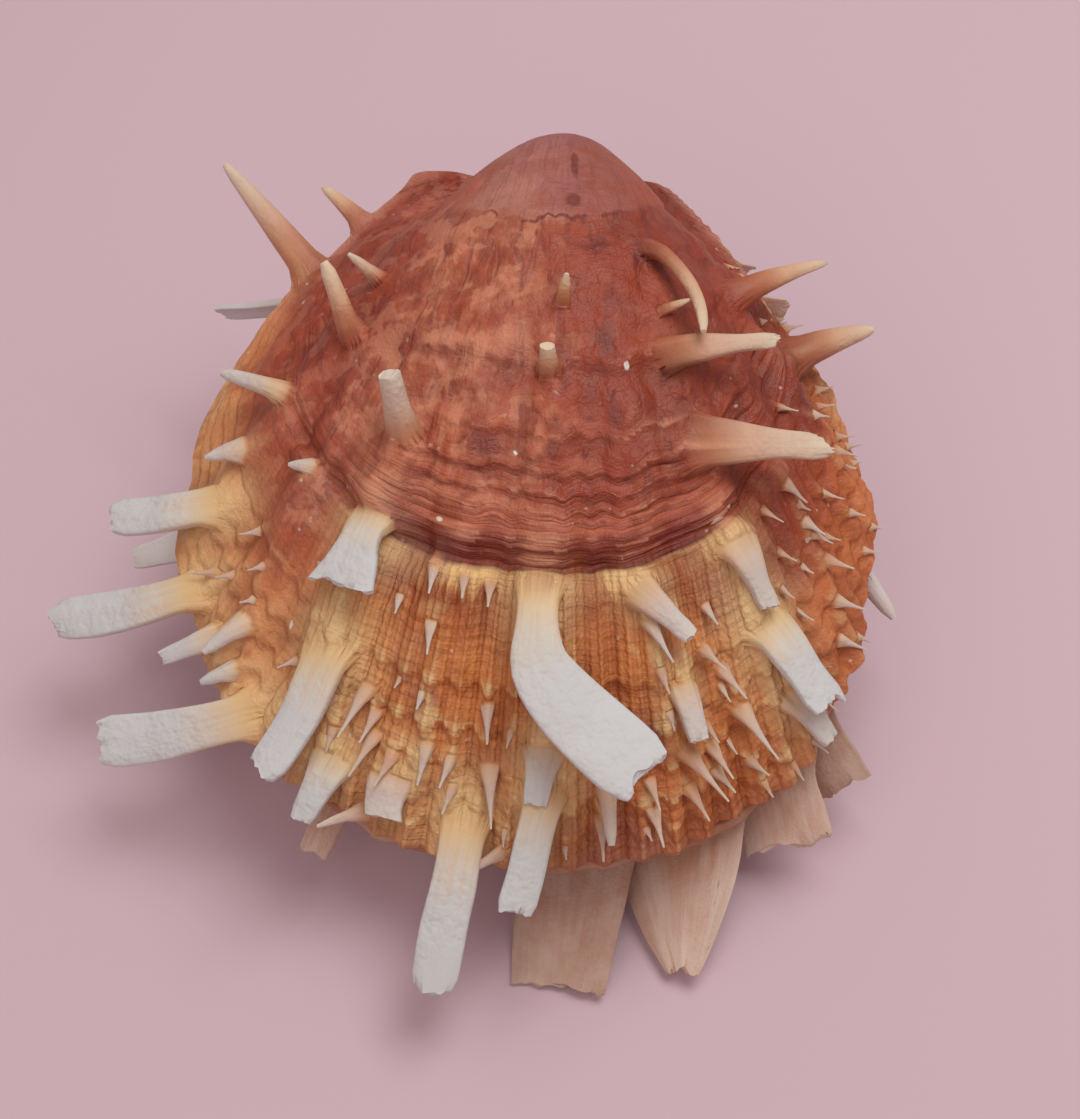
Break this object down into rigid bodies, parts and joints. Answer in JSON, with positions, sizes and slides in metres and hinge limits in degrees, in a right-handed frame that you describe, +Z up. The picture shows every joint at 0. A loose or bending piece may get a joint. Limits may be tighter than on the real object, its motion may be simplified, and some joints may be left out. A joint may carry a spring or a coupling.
{
  "type": "spiny oyster shell",
  "caption": "Closed spiny oyster shell: a ribbed, spiny upper valve over a cupped lower valve with leafy lamellae, resting on a flat attachment scar.",
  "frame": {"origin": "middle of the flat scar under the lower valve, on the floor", "axes": "+Z up, -Y towards the open front margin that faces the camera, +Y towards the hinge, +X to the right in the picture"},
  "size_m": [0.1188, 0.1284, 0.0609],
  "materials": {
    "upper_valve": "rough red-brown shell with cream-rooted white spines",
    "lower_valve": "pale pinkish-beige layered shell"
  },
  "bodies": {
    "root": {"upper_valve": "upper_valve", "lower_valve": "lower_valve"}
  },
  "joints": []
}
